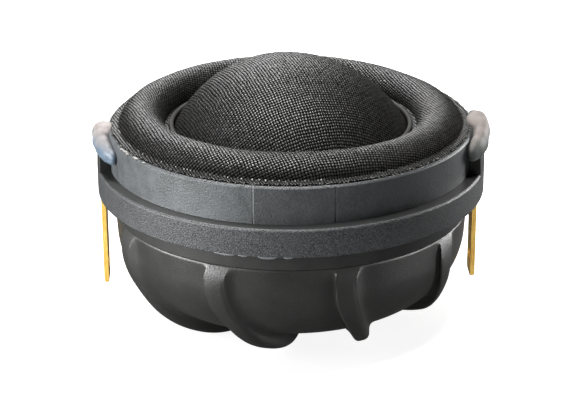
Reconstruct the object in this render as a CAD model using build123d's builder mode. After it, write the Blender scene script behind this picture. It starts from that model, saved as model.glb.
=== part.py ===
"""Cloth-dome tweeter with a neodymium motor, a finned rear chamber and blade terminals.

Millimetres, +Z along the dome's axis towards the listener. The origin is on that axis,
level with the lowest points of the rear chamber's fins. The front is -Y and the
terminals are at -X and +X.
"""
from build123d import *
from math import acos, atan, cos, degrees, radians, sin, sqrt, tan
import os

os.makedirs("parts", exist_ok=True)

# ---------------------------------------------------------------- chassis and ring
FLANGE_R = 21.0
FLANGE_TOP = 17.2
FLANGE_THICK = 3.0
FLANGE_BOTTOM = FLANGE_TOP - FLANGE_THICK
FLANGE_BEVEL = 0.2
COLLAR_R = 19.3
SEAM_Z = FLANGE_TOP - 5.1
SEAM_GAP = 0.05
SPIGOT_R = 17.8
SPIGOT_BOTTOM = SEAM_Z - 1.5
LIP_R = 18.25
LIP_THICK = 0.55
LIP_HEIGHT = 0.8

RING_R = 19.7
RING_BORE_R = 18.3
RING_TOP = FLANGE_TOP + 4.0
RING_EDGE = 0.2
WITNESS_WIDTH = 0.22
WITNESS_DEPTH = 0.06
WITNESS_ANGLES = (-103.0, -79.0)      # mould witness lines, from +X towards +Y

LUG_INNER_R = RING_R + 0.05
LUG_TOP_R = FLANGE_R - 0.07           # drafted, so that the moulding leaves its tool
LUG_TOP = FLANGE_TOP + 2.0
LUG_SPANS = ((-19.0, 12.5), (161.0, 192.5))   # degrees, from +X towards +Y

# ---------------------------------------------------------------- terminals
TAB_WIDTH = 2.8
TAB_THICK = 0.5
TAB_INNER_X = {"left": 20.2, "right": 19.85}
TAB_TIP_Z = 2.85
TAB_TOP_Z = RING_TOP - 0.2
TAB_TIP_CHAMFER = 0.5
TAB_TIP_ROUND = 0.2
TAB_HOLE_R = 0.6
TAB_HOLE_Z = TAB_TIP_Z + 2.2
SOLDER_R = 0.42
SOLDER_OFFSET = 0.28                  # outward from the blade's inner face

# ---------------------------------------------------------------- diaphragm
CLOTH = 0.24
RIM_R = 19.35
ROLL_CENTRE_R = 16.1
ROLL_CENTRE_Z = RING_TOP - 0.25
ROLL_R = 2.35
CUFF_R = 13.2
DOME_R = 14.18
DOME_CENTRE_Z = FLANGE_TOP - 3.04
DOME_SHELL = 0.3
DOME_FOOT_R = 12.44
SKIRT_BOTTOM = RING_TOP - 1.0
FORMER_R = 12.7
FORMER_WALL = 0.1
FORMER_BOTTOM = 15.5
FORMER_TOP = RING_TOP - 0.2
COIL_R = 13.1
COIL_BOTTOM = 15.8
COIL_TOP = 17.8
BEAD_R = 13.12
BEAD_INNER_R = FORMER_R - 0.02
BEAD_BOTTOM = FORMER_TOP - 0.4
BEAD_TOP = RING_TOP + 0.12

# ---------------------------------------------------------------- motor
VENT_R = 2.4
VENT_WALL = 0.5
VENT_HEAD_R = 3.2
VENT_HEAD = 0.3
YOKE_R = 16.5
YOKE_BOTTOM = 9.2
YOKE_FLOOR = 2.6
YOKE_TOP = 18.6
GAP_OUTER_R = 13.4
GAP_LIP = 3.2
POT_BORE_R = 14.6
MAGNET_R = 11.4
MAGNET_THICK = 3.6
PLATE_R = 12.3
PLATE_THICK = 2.7
CAP_THICK = 0.1
MAGNET_BOTTOM = YOKE_BOTTOM + YOKE_FLOOR
PLATE_BOTTOM = MAGNET_BOTTOM + MAGNET_THICK
PLATE_TOP = PLATE_BOTTOM + PLATE_THICK

# ---------------------------------------------------------------- damping and seal
PAD_BORE_R = 3.2
PAD_R = 10.2
PAD_THICK = 1.6
DAMPING_BORE_R = 13.9
DAMPING_R = 16.4
DAMPING_THICK = 0.9
FELT_R = 11.8
FELT_BOTTOM = 3.5
FELT_TOP = 8.6
GASKET_BORE_R = 17.85
GASKET_R = 18.55
GASKET_THICK = 0.5

# ---------------------------------------------------------------- rear chamber
BOWL_R = 19.2
BOWL_BASE_R = 18.6
BOWL_BASE_Z = 2.15
BOWL_CROWN_Z = 1.84
BOWL_CORNER = 7.9
BOWL_WALL = 1.3
FIN_SPACING = 40.0
FIN_PLACES = range(1, 9)              # there is none behind the right-hand terminal
FIN_THICK = 1.5
FIN_R = 20.0
FIN_MID_SETBACK = 0.22                # of the rim, halfway from the seam to its corner
FIN_CORNER = 9.7
FIN_INNER_R = 5.2
FIN_FLAT_R = 7.4
FIN_ANGLE = 3.0                       # of the first fin's rim, from +X towards +Y
FIN_TWIST = 3.44                      # degrees per millimetre in from the rim
FIN_TWIST_EASE = -0.098
FIN_STATIONS = (21.0, 18.5, 16.0, 13.0, 10.0, 7.0, 4.0)

# ---------------------------------------------------------------- lead-out wires
LEAD_D = 0.3
LEAD_START = (12.97, 0, COIL_TOP + 0.1)
LEAD_TURN_UP = (12.97, 0, RING_TOP - 1.1)
LEAD_SAG = (16.0, 0, RING_TOP - 1.35)
LEAD_HOLE_Z = RING_TOP - 0.45
LEAD_RISE = (17.9, 0, LEAD_HOLE_Z)
LEAD_END_SETBACK = 0.1                # of its end from the blade's inner face
LEAD_HOLE_R = 0.3
LEAD_BEND_SHARE = 0.45                # of the shorter run that a bend takes up


def section(*points):
    """Closed straight-sided section, where its points lie in the sketch's plane."""
    Polygon(*points, align=None)


def meridian(angle):
    """Plane through the axis, with radii along X and heights along Y."""
    turn = radians(angle)
    return Plane(origin=(0, 0, 0), x_dir=(cos(turn), sin(turn), 0), z_dir=(sin(turn), -cos(turn), 0))


def washer(bore_r, outer_r, bottom, top):
    """Rectangular section of a ring: radii along X, heights along Y."""
    section((bore_r, bottom), (outer_r, bottom), (outer_r, top), (bore_r, top))


def keep(part, name):
    """Label a finished piece and write it."""
    part.label = name
    export_step(part, f"parts/{name}.step")


# ================================================================ chassis flange
with BuildPart() as chassis_flange:
    with BuildSketch(Plane.XZ):
        section(
            (YOKE_R, SPIGOT_BOTTOM),
            (SPIGOT_R, SPIGOT_BOTTOM),
            (SPIGOT_R, SEAM_Z),
            (COLLAR_R, SEAM_Z),
            (COLLAR_R, FLANGE_BOTTOM),
            (FLANGE_R, FLANGE_BOTTOM),
            (FLANGE_R, FLANGE_TOP - FLANGE_BEVEL),
            (FLANGE_R - FLANGE_BEVEL, FLANGE_TOP),
            (LIP_R, FLANGE_TOP),
            (LIP_R, FLANGE_TOP + LIP_HEIGHT),
            (LIP_R - LIP_THICK, FLANGE_TOP + LIP_HEIGHT),
            (LIP_R - LIP_THICK, FLANGE_TOP),
            (YOKE_R, FLANGE_TOP),
        )
    revolve(axis=Axis.Z)
    # Two curved lugs rise from the flange and carry the terminals.
    for first, last in LUG_SPANS:
        with BuildSketch(meridian(first)):
            section(
                (LUG_INNER_R, FLANGE_TOP - FLANGE_BEVEL),
                (FLANGE_R, FLANGE_TOP - FLANGE_BEVEL),
                (FLANGE_R, FLANGE_TOP),
                (LUG_TOP_R, LUG_TOP),
                (LUG_INNER_R, LUG_TOP),
            )
        revolve(axis=Axis.Z, revolution_arc=last - first)
    # The terminals pass through the lugs and the flange.
    left_x = -TAB_INNER_X["left"] - TAB_THICK / 2
    right_x = TAB_INNER_X["right"] + TAB_THICK / 2
    with BuildSketch(Plane.XY.offset(FLANGE_BOTTOM)):
        with Locations((left_x, 0), (right_x, 0)):
            Rectangle(TAB_THICK, TAB_WIDTH)
    extrude(amount=LUG_TOP - FLANGE_BOTTOM, mode=Mode.SUBTRACT)
keep(chassis_flange.part, "chassis_flange")

# ================================================================ diaphragm ring
with BuildPart() as diaphragm_ring:
    with BuildSketch(Plane.XZ):
        section(
            (RING_BORE_R, FLANGE_TOP),
            (RING_R, FLANGE_TOP),
            (RING_R, RING_TOP - RING_EDGE),
            (RING_R - RING_EDGE, RING_TOP),
            (RING_BORE_R, RING_TOP),
        )
    revolve(axis=Axis.Z)
    # Mould witness lines up the front of the wall.
    with BuildSketch(Plane.XY.offset(FLANGE_TOP)):
        for angle in WITNESS_ANGLES:
            with PolarLocations(RING_R, 1, start_angle=angle):
                Rectangle(2 * WITNESS_DEPTH, WITNESS_WIDTH)
    extrude(amount=RING_TOP - FLANGE_TOP, mode=Mode.SUBTRACT)
    # A hole on each side lets a lead-out through.
    with BuildSketch(Plane.YZ):
        with Locations((0, LEAD_HOLE_Z)):
            Circle(LEAD_HOLE_R)
    extrude(amount=FLANGE_R, both=True, mode=Mode.SUBTRACT)
keep(diaphragm_ring.part, "diaphragm_ring")

# ================================================================ rear chamber
CHAMBER_TOP = SEAM_Z - SEAM_GAP
WALL_INNER_R = SPIGOT_R + SEAM_GAP


def fin_angle(radius):
    """Direction of a fin's middle line at a radius, from +X towards +Y, in degrees."""
    inward = FIN_R - radius
    return FIN_TWIST * inward + FIN_TWIST_EASE * inward**2


def fin_edge(side):
    """Points along one face of the first fin, half its thickness off its middle line."""
    points = []
    for radius in FIN_STATIONS:
        turn = radians(FIN_ANGLE + fin_angle(radius))
        # The middle line leans from the radius as its direction turns.
        twist_here = FIN_TWIST + 2 * FIN_TWIST_EASE * (FIN_R - radius)
        heading = turn - atan(radius * radians(twist_here))
        across = side * FIN_THICK / 2
        points.append((
            radius * cos(turn) - across * sin(heading),
            radius * sin(turn) + across * cos(heading),
        ))
    return points


with BuildPart() as fin_rims:
    # Solid of revolution that the fins' rims lie on.
    with BuildSketch(Plane.XZ):
        with BuildLine():
            Line((0, CHAMBER_TOP), (BOWL_R, CHAMBER_TOP))
            ThreePointArc(
                (BOWL_R, CHAMBER_TOP),
                (FIN_R - FIN_MID_SETBACK, (CHAMBER_TOP + FIN_CORNER) / 2),
                (FIN_R, FIN_CORNER),
            )
            CenterArc((FIN_R - FIN_CORNER, FIN_CORNER), FIN_CORNER, 0, -90)
            Line((FIN_R - FIN_CORNER, 0), (FIN_FLAT_R, 0))
            Line((FIN_FLAT_R, 0), (FIN_INNER_R, BOWL_BASE_Z))
            Line((FIN_INNER_R, BOWL_BASE_Z), (0, BOWL_BASE_Z))
            Line((0, BOWL_BASE_Z), (0, CHAMBER_TOP))
        make_face()
    revolve(axis=Axis.Z)

with BuildPart() as fin:
    # A swirled blade as tall as the chamber, trimmed to the rims.
    with BuildSketch():
        with BuildLine():
            near_face = Spline(*fin_edge(1))
            far_face = Spline(*fin_edge(-1))
            Line(near_face @ 0, far_face @ 0)
            Line(near_face @ 1, far_face @ 1)
        make_face()
    extrude(amount=CHAMBER_TOP)
    add(fin_rims.part, mode=Mode.INTERSECT)

with BuildPart() as rear_chamber:
    for place in FIN_PLACES:
        add(fin.part, rotation=(0, 0, place * FIN_SPACING))
    # The bowl.
    with BuildSketch(Plane.XZ):
        with BuildLine():
            FilletPolyline(
                (BOWL_R, CHAMBER_TOP),
                (BOWL_BASE_R, BOWL_BASE_Z),
                (0, BOWL_CROWN_Z),
                radius=BOWL_CORNER,
            )
            Polyline((0, BOWL_CROWN_Z), (0, CHAMBER_TOP), (BOWL_R, CHAMBER_TOP))
        make_face()
    revolve(axis=Axis.Z)
    # Its hollow.
    with BuildSketch(Plane.XZ):
        with BuildLine():
            FilletPolyline(
                (WALL_INNER_R, CHAMBER_TOP),
                (BOWL_BASE_R - BOWL_WALL, BOWL_BASE_Z + BOWL_WALL),
                (0, BOWL_CROWN_Z + BOWL_WALL),
                radius=BOWL_CORNER - BOWL_WALL,
            )
            Polyline((0, BOWL_CROWN_Z + BOWL_WALL), (0, CHAMBER_TOP), (WALL_INNER_R, CHAMBER_TOP))
        make_face()
    revolve(axis=Axis.Z, mode=Mode.SUBTRACT)
    # A socket for the chassis spigot, with a seat for the gasket.
    with BuildSketch(Plane.XZ):
        washer(0, WALL_INNER_R, SPIGOT_BOTTOM - SEAM_GAP, SEAM_Z)
        washer(SPIGOT_R, GASKET_R, SEAM_Z - GASKET_THICK, SEAM_Z)
    revolve(axis=Axis.Z, mode=Mode.SUBTRACT)
keep(rear_chamber.part, "rear_chamber")

with BuildPart() as chamber_gasket:
    with BuildSketch(Plane.XZ):
        washer(GASKET_BORE_R, GASKET_R, SEAM_Z - GASKET_THICK, SEAM_Z)
    revolve(axis=Axis.Z)
keep(chamber_gasket.part, "chamber_gasket")

with BuildPart() as chamber_damping:
    with BuildSketch(Plane.XY.offset(FELT_BOTTOM)):
        Circle(FELT_R)
    extrude(amount=FELT_TOP - FELT_BOTTOM)
keep(chamber_damping.part, "chamber_damping")

# ================================================================ motor
with BuildPart() as yoke_pot:
    with BuildSketch(Plane.XZ):
        section(
            (VENT_R, YOKE_BOTTOM),
            (YOKE_R, YOKE_BOTTOM),
            (YOKE_R, YOKE_TOP),
            (GAP_OUTER_R, YOKE_TOP),
            (GAP_OUTER_R, YOKE_TOP - GAP_LIP),
            (POT_BORE_R, YOKE_TOP - GAP_LIP),
            (POT_BORE_R, MAGNET_BOTTOM),
            (VENT_R, MAGNET_BOTTOM),
        )
    revolve(axis=Axis.Z)
keep(yoke_pot.part, "yoke_pot")

with BuildPart() as magnet:
    with BuildSketch(Plane.XZ):
        washer(VENT_R, MAGNET_R, MAGNET_BOTTOM, PLATE_BOTTOM)
    revolve(axis=Axis.Z)
keep(magnet.part, "magnet")

with BuildPart() as pole_plate:
    with BuildSketch(Plane.XZ):
        washer(VENT_R, PLATE_R, PLATE_BOTTOM, PLATE_TOP)
    revolve(axis=Axis.Z)
keep(pole_plate.part, "pole_plate")

with BuildPart() as copper_cap:
    with BuildSketch(Plane.XZ):
        section(
            (VENT_R, PLATE_TOP),
            (PLATE_R, PLATE_TOP),
            (PLATE_R, PLATE_BOTTOM),
            (PLATE_R + CAP_THICK, PLATE_BOTTOM),
            (PLATE_R + CAP_THICK, PLATE_TOP + CAP_THICK),
            (VENT_R, PLATE_TOP + CAP_THICK),
        )
    revolve(axis=Axis.Z)
keep(copper_cap.part, "copper_cap")

with BuildPart() as vent_tube:
    with BuildSketch(Plane.XZ):
        section(
            (VENT_R - VENT_WALL, YOKE_BOTTOM - VENT_HEAD),
            (VENT_HEAD_R, YOKE_BOTTOM - VENT_HEAD),
            (VENT_HEAD_R, YOKE_BOTTOM),
            (VENT_R, YOKE_BOTTOM),
            (VENT_R, PLATE_TOP + CAP_THICK),
            (VENT_R - VENT_WALL, PLATE_TOP + CAP_THICK),
        )
    revolve(axis=Axis.Z)
keep(vent_tube.part, "vent_tube")

with BuildPart() as dome_damping_pad:
    with BuildSketch(Plane.XZ):
        washer(PAD_BORE_R, PAD_R, PLATE_TOP + CAP_THICK, PLATE_TOP + CAP_THICK + PAD_THICK)
    revolve(axis=Axis.Z)
keep(dome_damping_pad.part, "dome_damping_pad")

with BuildPart() as surround_damping_ring:
    with BuildSketch(Plane.XZ):
        washer(DAMPING_BORE_R, DAMPING_R, YOKE_TOP, YOKE_TOP + DAMPING_THICK)
    revolve(axis=Axis.Z)
keep(surround_damping_ring.part, "surround_damping_ring")

# ================================================================ diaphragm
FOOT_ANGLE = degrees(acos(DOME_FOOT_R / DOME_R))

with BuildPart() as dome:
    with BuildSketch(Plane.XZ):
        with BuildLine():
            outside = CenterArc((0, DOME_CENTRE_Z), DOME_R, FOOT_ANGLE, 90 - FOOT_ANGLE)
            inside = CenterArc(
                (0, DOME_CENTRE_Z), DOME_R - DOME_SHELL, FOOT_ANGLE, 90 - FOOT_ANGLE
            )
            Line(inside @ 1, outside @ 1)
            # A short skirt stands inside the coil former.
            Polyline(
                outside @ 0,
                (FORMER_R, (outside @ 0).Y),
                (FORMER_R, SKIRT_BOTTOM),
                ((inside @ 0).X, SKIRT_BOTTOM),
                inside @ 0,
            )
        make_face()
    revolve(axis=Axis.Z)
keep(dome.part, "dome")

with BuildPart() as surround_roll:
    outer_r = ROLL_R + CLOTH / 2
    inner_r = ROLL_R - CLOTH / 2
    rim_top = RING_TOP + CLOTH
    outer_foot_r = ROLL_CENTRE_R + sqrt(outer_r**2 - (rim_top - ROLL_CENTRE_Z) ** 2)
    inner_foot_r = ROLL_CENTRE_R + sqrt(inner_r**2 - (RING_TOP - ROLL_CENTRE_Z) ** 2)
    cuff_foot_r = ROLL_CENTRE_R - sqrt(inner_r**2 - CLOTH**2)
    with BuildSketch(Plane.XZ):
        with BuildLine():
            ThreePointArc(
                (outer_foot_r, rim_top),
                (ROLL_CENTRE_R, ROLL_CENTRE_Z + outer_r),
                (ROLL_CENTRE_R - outer_r, ROLL_CENTRE_Z),
            )
            Polyline(
                (ROLL_CENTRE_R - outer_r, ROLL_CENTRE_Z),
                (CUFF_R, ROLL_CENTRE_Z),
                (CUFF_R, ROLL_CENTRE_Z - CLOTH),
                (cuff_foot_r, ROLL_CENTRE_Z - CLOTH),
            )
            ThreePointArc(
                (cuff_foot_r, ROLL_CENTRE_Z - CLOTH),
                (ROLL_CENTRE_R, ROLL_CENTRE_Z + inner_r),
                (inner_foot_r, RING_TOP),
            )
            Polyline(
                (inner_foot_r, RING_TOP),
                (RIM_R, RING_TOP),
                (RIM_R, rim_top),
                (outer_foot_r, rim_top),
            )
        make_face()
    revolve(axis=Axis.Z)
keep(surround_roll.part, "surround_roll")

with BuildPart() as coil_former:
    with BuildSketch(Plane.XZ):
        washer(FORMER_R, FORMER_R + FORMER_WALL, FORMER_BOTTOM, FORMER_TOP)
    revolve(axis=Axis.Z)
keep(coil_former.part, "coil_former")

with BuildPart() as coil_winding:
    with BuildSketch(Plane.XZ):
        washer(FORMER_R + FORMER_WALL, COIL_R, COIL_BOTTOM, COIL_TOP)
    revolve(axis=Axis.Z)
keep(coil_winding.part, "coil_winding")

with BuildPart() as coil_glue_bead:
    with BuildSketch(Plane.XZ):
        with BuildLine():
            ThreePointArc(
                (BEAD_R, FORMER_TOP),
                ((BEAD_R + BEAD_INNER_R) / 2, BEAD_TOP),
                (BEAD_INNER_R, FORMER_TOP),
            )
            Polyline(
                (BEAD_INNER_R, FORMER_TOP),
                (FORMER_R + FORMER_WALL, FORMER_TOP),
                (FORMER_R + FORMER_WALL, BEAD_BOTTOM),
                (BEAD_R, BEAD_BOTTOM),
                (BEAD_R, FORMER_TOP),
            )
        make_face()
    revolve(axis=Axis.Z)
keep(coil_glue_bead.part, "coil_glue_bead")

# ================================================================ terminals and wiring
GLUE_INNER_R = 18.9
GLUE_ON_WALL_R = 19.4
GLUE_OUTER_R = 21.5
GLUE_FOOT_R = 21.2
GLUE_SWELL = 1.0                      # height over which its outer face swells from its foot
GLUE_SHOULDER = 0.8
GLUE_SHOULDER_WIDTH = 0.7
GLUE_INNER_SHOULDER = 0.4
GLUE_INNER_SHOULDER_WIDTH = 0.5
GLUE_INNER_BOTTOM = RING_TOP - 0.8
GLUE_CREST = {"left": RING_TOP + 0.4, "right": RING_TOP + 0.9}
GLUE_SPANS = {"left": (173.0, 197.5), "right": (-21.0, 7.0)}

for side, word in ((-1, "left"), (1, "right")):
    with BuildPart() as terminal:
        with BuildSketch(Plane.YZ.offset(side * (TAB_INNER_X[word] + TAB_THICK / 2))):
            with BuildLine():
                Polyline(
                    (-TAB_WIDTH / 2, TAB_TOP_Z),
                    (-TAB_WIDTH / 2, TAB_TIP_Z + TAB_TIP_CHAMFER),
                    (-TAB_WIDTH / 2 + TAB_TIP_CHAMFER, TAB_TIP_Z),
                    (TAB_WIDTH / 2 - TAB_TIP_CHAMFER, TAB_TIP_Z),
                    (TAB_WIDTH / 2, TAB_TIP_Z + TAB_TIP_CHAMFER),
                    (TAB_WIDTH / 2, TAB_TOP_Z),
                    close=True,
                )
            make_face()
            with Locations((0, TAB_HOLE_Z)):
                Circle(TAB_HOLE_R, mode=Mode.SUBTRACT)
        extrude(amount=TAB_THICK / 2, both=True)
        # The tip's faces are rounded over so that a receptacle slides on.
        tip_edges = terminal.edges().filter_by(Axis.Y).group_by(Axis.Z)[0]
        fillet(tip_edges, radius=TAB_TIP_ROUND)
    keep(terminal.part, f"terminal_{word}")

    with BuildPart() as lead_wire:
        lead_end = (TAB_INNER_X[word] - LEAD_END_SETBACK, 0, LEAD_HOLE_Z)
        right_hand_route = (LEAD_START, LEAD_TURN_UP, LEAD_SAG, LEAD_RISE, lead_end)
        route = [(side * x, y, z) for x, y, z in right_hand_route]
        bends = []
        for before, corner, after in zip(route, route[1:], route[2:]):
            run_in = Vector(corner) - Vector(before)
            run_out = Vector(after) - Vector(corner)
            half_turn = radians(run_in.get_angle(run_out)) / 2
            bends.append(LEAD_BEND_SHARE * min(run_in.length, run_out.length) / tan(half_turn))
        with BuildLine() as lead_path:
            FilletPolyline(*route, radius=bends)
        with BuildSketch(Plane(origin=route[0], z_dir=(0, 0, 1))):
            Circle(LEAD_D / 2)
        sweep(path=lead_path.wire())
    keep(lead_wire.part, f"lead_wire_{word}")

    with BuildPart() as solder_joint:
        with Locations((side * (TAB_INNER_X[word] + SOLDER_OFFSET), 0, TAB_TOP_Z)):
            Sphere(SOLDER_R)
        add(terminal.part, mode=Mode.SUBTRACT)
    keep(solder_joint.part, f"solder_joint_{word}")

    with BuildPart() as glue_blob:
        crest = GLUE_CREST[word]
        first, last = GLUE_SPANS[word]
        with BuildSketch(meridian(first)):
            section(
                (GLUE_ON_WALL_R, LUG_TOP),
                (GLUE_FOOT_R, LUG_TOP),
                (GLUE_OUTER_R, LUG_TOP + GLUE_SWELL),
                (GLUE_OUTER_R, crest - GLUE_SHOULDER),
                (GLUE_OUTER_R - GLUE_SHOULDER_WIDTH, crest),
                (GLUE_INNER_R + GLUE_INNER_SHOULDER_WIDTH, crest),
                (GLUE_INNER_R, crest - GLUE_INNER_SHOULDER),
                (GLUE_INNER_R, GLUE_INNER_BOTTOM),
                (GLUE_ON_WALL_R, GLUE_INNER_BOTTOM),
            )
        revolve(axis=Axis.Z, revolution_arc=last - first)
        # It fills the space between its neighbours and touches each of them.
        for neighbour in (chassis_flange, diaphragm_ring, surround_roll):
            add(neighbour.part, mode=Mode.SUBTRACT)
        for neighbour in (terminal, solder_joint, lead_wire):
            add(neighbour.part, mode=Mode.SUBTRACT)
    keep(glue_blob.part, f"glue_blob_{word}")
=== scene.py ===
"""Looks of a cloth-dome tweeter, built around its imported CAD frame.

Lengths in the tables below are millimetres in the part's own frame: +Z along the dome's
axis, the origin level with the lowest points of the fins, the front at -Y and the
terminals at -X and +X. Meshes are made in metres.
"""
import math
import random

import bmesh
import bpy
import numpy as np
from mathutils import Matrix, Vector, noise


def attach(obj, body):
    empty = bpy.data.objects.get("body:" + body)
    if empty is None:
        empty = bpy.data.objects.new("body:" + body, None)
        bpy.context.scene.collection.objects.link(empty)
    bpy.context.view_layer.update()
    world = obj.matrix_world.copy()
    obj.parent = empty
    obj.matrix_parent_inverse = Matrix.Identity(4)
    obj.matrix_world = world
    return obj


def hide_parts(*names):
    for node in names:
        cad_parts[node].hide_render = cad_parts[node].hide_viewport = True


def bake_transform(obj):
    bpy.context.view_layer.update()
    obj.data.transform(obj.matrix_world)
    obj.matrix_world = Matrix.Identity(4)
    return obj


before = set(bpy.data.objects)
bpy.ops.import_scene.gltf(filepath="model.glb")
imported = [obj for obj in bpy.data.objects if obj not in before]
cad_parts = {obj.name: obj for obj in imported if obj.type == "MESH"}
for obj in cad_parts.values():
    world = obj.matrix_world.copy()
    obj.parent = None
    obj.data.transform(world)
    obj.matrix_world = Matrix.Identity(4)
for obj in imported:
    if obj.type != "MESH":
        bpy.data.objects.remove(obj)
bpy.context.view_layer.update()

MM = 0.001
RNG = random.Random(7)
scene = bpy.context.scene

# Sizes shared with the CAD source.
FLANGE_TOP = 17.2
FLANGE_BOTTOM = 14.2
RING_TOP = 21.2
SEAM_Z = 12.1
CLOTH = 0.24
WITNESS_ANGLE = -103.0                # of the ring's mould line; to the left of it the ring is painted lighter, as painted light from the left


# ================================================================ mesh helpers
def smoothstep(low, high, value):
    """0 below low, 1 above high and an S-shaped rise between them."""
    t = min(1.0, max(0.0, (value - low) / (high - low)))
    return t * t * (3 - 2 * t)


def wobble(x, y, z, size, seed=0.0):
    """Smooth noise from about -1 to 1 whose lumps are about size across."""
    return noise.noise(Vector((x / size + seed, y / size - seed, z / size + 2 * seed)))


def piece(name, points, faces, material, smooth=True):
    """Mesh object from points in millimetres."""
    mesh = bpy.data.meshes.new(name)
    mesh.from_pydata([(x * MM, y * MM, z * MM) for x, y, z in points], [], faces)
    mesh.validate()
    mesh.update()
    mesh.polygons.foreach_set("use_smooth", [smooth] * len(mesh.polygons))
    obj = bpy.data.objects.new(name, mesh)
    scene.collection.objects.link(obj)
    mesh.materials.append(material)
    return obj


def outward(obj):
    """Turns the faces of a closed mesh to the outside."""
    work = bmesh.new()
    work.from_mesh(obj.data)
    bmesh.ops.recalc_face_normals(work, faces=work.faces)
    work.to_mesh(obj.data)
    work.free()
    return obj


def sharp_edges(obj, degrees=32.0):
    """Smooth shading that stops at edges steeper than an angle."""
    work = bmesh.new()
    work.from_mesh(obj.data)
    for edge in work.edges:
        if len(edge.link_faces) == 2 and edge.calc_face_angle(0.0) > math.radians(degrees):
            edge.smooth = False
    work.to_mesh(obj.data)
    work.free()
    return obj


def grid_faces(rows, columns, first=0):
    """Quads of a grid that closes on itself from its last column to its first."""
    faces = []
    for row in range(rows - 1):
        for column in range(columns):
            beside = (column + 1) % columns
            faces.append((
                first + row * columns + column,
                first + row * columns + beside,
                first + (row + 1) * columns + beside,
                first + (row + 1) * columns + column,
            ))
    return faces


def strip_faces(rows, columns):
    """Faces of a tube whose rows are its rings, with its two ends closed."""
    faces = grid_faces(rows, columns)
    faces.append(tuple(range(columns)))
    faces.append(tuple((rows - 1) * columns + k for k in reversed(range(columns))))
    return faces


def lathe(name, profile, material, columns=192, shift=None):
    """Solid of revolution. shift(angle, radius, height) returns what is added to a point."""
    points = []
    for radius, height in profile:
        for column in range(columns):
            turn = 2 * math.pi * column / columns
            r, z = radius, height
            if shift:
                dr, dz = shift(turn, radius, height)
                r, z = r + dr, z + dz
            points.append((r * math.cos(turn), r * math.sin(turn), z))
    rows = len(profile)
    faces = grid_faces(rows, columns)
    for column in range(columns):
        beside = (column + 1) % columns
        last = (rows - 1) * columns
        faces.append((last + column, last + beside, beside, column))
    return outward(piece(name, points, faces, material))


def arc(centre, radius, start, end, steps):
    """Points on an arc in the plane of radii and heights; angles in degrees."""
    found = []
    for step in range(steps + 1):
        turn = math.radians(start + (end - start) * step / steps)
        found.append((centre[0] + radius * math.cos(turn), centre[1] + radius * math.sin(turn)))
    return found


def resampled(points, count):
    """That many points evenly spaced along a line through some points."""
    line = np.array(points, float)
    steps = np.linalg.norm(np.diff(line, axis=0), axis=1)
    along = np.concatenate([[0.0], np.cumsum(steps)])
    at = np.linspace(0.0, along[-1], count)
    return np.stack([np.interp(at, along, line[:, k]) for k in range(line.shape[1])], axis=1)


def filleted(points, radii, steps=10):
    """Line through some points whose inner corners are rounded with those radii."""
    found = [points[0]]
    for before, corner, after, radius in zip(points, points[1:], points[2:], radii):
        b, c, a = Vector(before), Vector(corner), Vector(after)
        run_in, run_out = (b - c).normalized(), (a - c).normalized()
        half = run_in.angle(run_out) / 2
        reach = radius / math.tan(half)
        centre = c + (run_in + run_out).normalized() * radius / math.sin(half)
        first, last = c + run_in * reach - centre, c + run_out * reach - centre
        for step in range(steps + 1):
            spread = first.lerp(last, step / steps).normalized() * radius
            found.append(tuple(centre + spread))
    found.append(points[-1])
    return found


def tube(name, line, radius, material, sides=8):
    """Round tube with closed ends along a line of points."""
    line = [Vector(p) for p in line]
    points = []
    across = Vector((0.0, 1.0, 0.0))
    for k, centre in enumerate(line):
        ahead = (line[min(k + 1, len(line) - 1)] - line[max(k - 1, 0)]).normalized()
        side = ahead.cross(across).normalized()
        across = side.cross(ahead).normalized()
        for step in range(sides):
            turn = 2 * math.pi * step / sides
            spoke = math.cos(turn) * side + math.sin(turn) * across
            points.append(tuple(centre + radius * spoke))
    return outward(piece(name, points, strip_faces(len(line), sides), material))


def joined(name, objects):
    """One object from several."""
    work = bmesh.new()
    for obj in objects:
        work.from_mesh(obj.data)
    first = objects[0].data
    work.to_mesh(first)
    work.free()
    for obj in objects[1:]:
        bpy.data.objects.remove(obj)
    objects[0].name = name
    return objects[0]


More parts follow.
